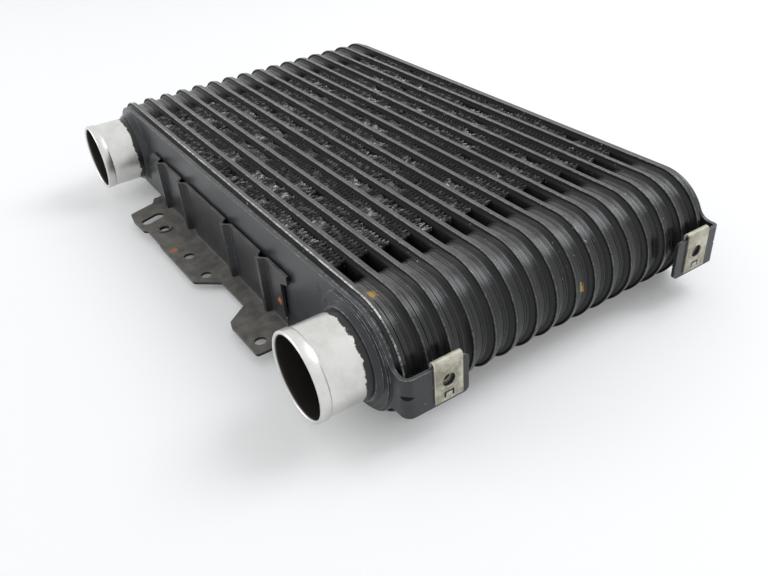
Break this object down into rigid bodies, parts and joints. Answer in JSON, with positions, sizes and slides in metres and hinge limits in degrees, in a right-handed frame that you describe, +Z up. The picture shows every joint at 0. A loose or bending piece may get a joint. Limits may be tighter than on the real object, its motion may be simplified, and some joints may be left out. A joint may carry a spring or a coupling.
{
  "type": "intercooler",
  "caption": "Air-to-air charge air cooler of drawn-cup plates with corrugated fins, hose pipes on one side, a pressed mounting bracket and bent tabs with clip nuts.",
  "frame": {"origin": "under the middle of the whole box, on the surface that the core stands on", "axes": "+X along the tubes towards the inlet end with the two tabs, +Y across the stack away from the hose pipes, +Z up, along the way the cooling air takes through the fins"},
  "size_m": [0.394, 0.2464, 0.065],
  "materials": {
    "tube_paint": "semi-gloss black paint, dusty and worn along the ridges",
    "fin_paint": "satin black paint with bare spots",
    "plate_paint": "satin black paint, worn edges",
    "bracket_paint": "satin black paint with a little rust",
    "bare_aluminium": "bare satin aluminium",
    "zinc_steel": "dull zinc plate",
    "inner_aluminium": "bare sheet"
  },
  "bodies": {
    "root": {"clip_nut_far": "zinc_steel", "clip_nut_near": "zinc_steel", "far_end_plate": "plate_paint", "far_side_plate": "plate_paint", "inlet_pipe": "bare_aluminium", "mounting_bracket": "bracket_paint", "near_end_plate": "plate_paint", "near_side_plate": "plate_paint", "outer_fin_01": "fin_paint", "outer_fin_02": "fin_paint", "outer_fin_03": "fin_paint", "outer_fin_04": "fin_paint", "outer_fin_05": "fin_paint", "outer_fin_06": "fin_paint", "outer_fin_07": "fin_paint", "outer_fin_08": "fin_paint", "outer_fin_09": "fin_paint", "outer_fin_10": "fin_paint", "outer_fin_11": "fin_paint", "outer_fin_12": "fin_paint", "outer_fin_13": "fin_paint", "outer_fin_14": "fin_paint", "outer_fin_15": "fin_paint", "outlet_pipe": "bare_aluminium", "tube_lid_01": "tube_paint", "tube_lid_02": "tube_paint", "tube_lid_03": "tube_paint", "tube_lid_04": "tube_paint", "tube_lid_05": "tube_paint", "tube_lid_06": "tube_paint", "tube_lid_07": "tube_paint", "tube_lid_08": "tube_paint", "tube_lid_09": "tube_paint", "tube_lid_10": "tube_paint", "tube_lid_11": "tube_paint", "tube_lid_12": "tube_paint", "tube_lid_13": "tube_paint", "tube_lid_14": "tube_paint", "tube_lid_15": "tube_paint", "tube_lid_16": "tube_paint", "tube_pan_01": "tube_paint", "tube_pan_02": "tube_paint", "tube_pan_03": "tube_paint", "tube_pan_04": "tube_paint", "tube_pan_05": "tube_paint", "tube_pan_06": "tube_paint", "tube_pan_07": "tube_paint", "tube_pan_08": "tube_paint", "tube_pan_09": "tube_paint", "tube_pan_10": "tube_paint", "tube_pan_11": "tube_paint", "tube_pan_12": "tube_paint", "tube_pan_13": "tube_paint", "tube_pan_14": "tube_paint", "tube_pan_15": "tube_paint", "tube_pan_16": "tube_paint", "turbulators": "inner_aluminium"}
  },
  "joints": []
}
